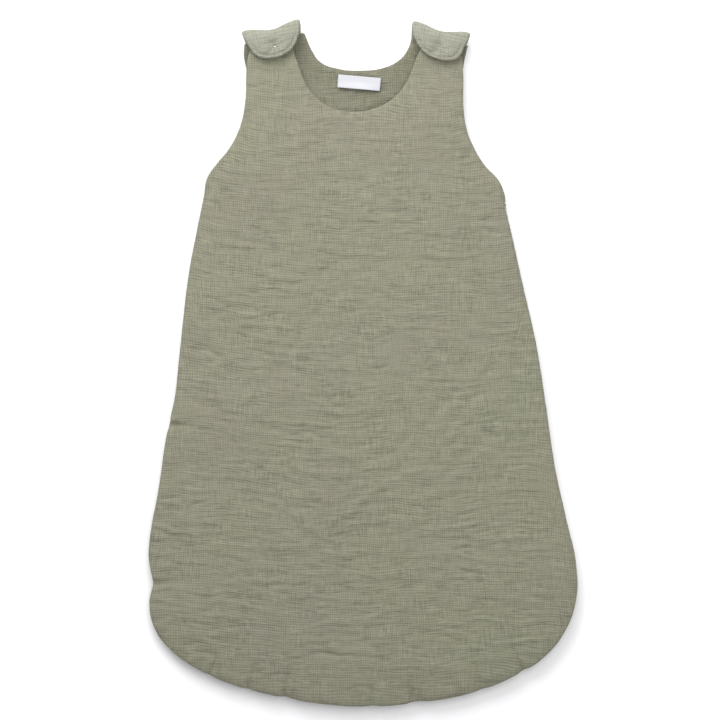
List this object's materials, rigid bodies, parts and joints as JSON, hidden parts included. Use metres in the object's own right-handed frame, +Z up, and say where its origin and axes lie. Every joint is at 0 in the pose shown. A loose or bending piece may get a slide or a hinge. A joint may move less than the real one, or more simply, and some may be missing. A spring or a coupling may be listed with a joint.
{
  "type": "baby sleeping bag",
  "caption": "Sleeveless padded sleeping bag for a baby, with snapped shoulder tabs and a zip down one side and round the foot.",
  "frame": {"origin": "middle of the bag's outline on the floor it lies on", "axes": "+Z up from the floor through back and front, +Y to the shoulders, +X to the wearer's left, the side with the zip"},
  "size_m": [0.4419, 0.6999, 0.0238],
  "materials": {
    "shell_muslin": "sage green crinkled double-gauze cotton",
    "lining_muslin": "sage green cotton muslin",
    "wadding": "white polyester wadding",
    "stud_metal": "satin nickel-free metal press stud",
    "zip_coil": "dyed polyester coil",
    "zip_tape": "woven polyester tape",
    "zip_metal": "lacquered die-cast zinc",
    "label_satin": "white woven satin, blank"
  },
  "bodies": {
    "bag": {"back_shell": "shell_muslin", "back_padding": "wadding", "back_lining": "lining_muslin", "front_shell_upper": "shell_muslin", "front_padding_upper": "wadding", "front_lining_upper": "lining_muslin", "left_strap_fold": "shell_muslin", "right_strap_fold": "shell_muslin", "left_stud_ball": "stud_metal", "left_stud_ring": "stud_metal", "right_stud_ball": "stud_metal", "right_stud_ring": "stud_metal", "zip_coil_front_upper": "zip_coil", "zip_tape_front_upper": "zip_tape", "zip_coil_back": "zip_coil", "zip_tape_back": "zip_tape", "zip_guard": "shell_muslin", "side_seam": "shell_muslin", "zip_top_stop": "zip_metal", "neck_label": "label_satin", "care_label": "label_satin"},
    "front_flap": {"front_shell_flap": "shell_muslin", "front_padding_flap": "wadding", "front_lining_flap": "lining_muslin", "zip_coil_front_flap": "zip_coil", "zip_tape_front_flap": "zip_tape"},
    "left_tab": {"left_tab_shell": "shell_muslin", "left_tab_padding": "wadding", "left_tab_lining": "lining_muslin", "left_stud_cap": "stud_metal", "left_stud_socket": "stud_metal"},
    "right_tab": {"right_tab_shell": "shell_muslin", "right_tab_padding": "wadding", "right_tab_lining": "lining_muslin", "right_stud_cap": "stud_metal", "right_stud_socket": "stud_metal"},
    "zip_slider": {"zip_slider": "zip_metal"},
    "zip_pull": {"zip_pull": "zip_metal"}
  },
  "joints": [
    {"name": "front_flap_fold", "type": "hinge", "parent": "bag", "child": "front_flap", "pos_m": [0.0005, -0.089, 0.0174], "axis": [-0.5411, -0.8409, 0], "range_deg": [0, 150]},
    {"name": "left_tab_fold", "type": "hinge", "parent": "bag", "child": "left_tab", "pos_m": [-0.09597, 0.34384, 0.0119], "axis": [-0.9781, -0.2079, 0], "range_deg": [0, 150]},
    {"name": "right_tab_fold", "type": "hinge", "parent": "bag", "child": "right_tab", "pos_m": [0.07797, 0.34204, 0.0119], "axis": [-0.9781, 0.2079, 0], "range_deg": [0, 150]},
    {"name": "zip_run", "type": "slide", "parent": "bag", "child": "zip_slider", "axis": [0.1859, -0.9826, 0], "range_m": [0, 0.34]},
    {"name": "pull_swing", "type": "hinge", "parent": "zip_slider", "child": "zip_pull", "pos_m": [0.14364, 0.16322, 0.0086], "axis": [0, 0, 1], "range_deg": [0, 165]}
  ]
}
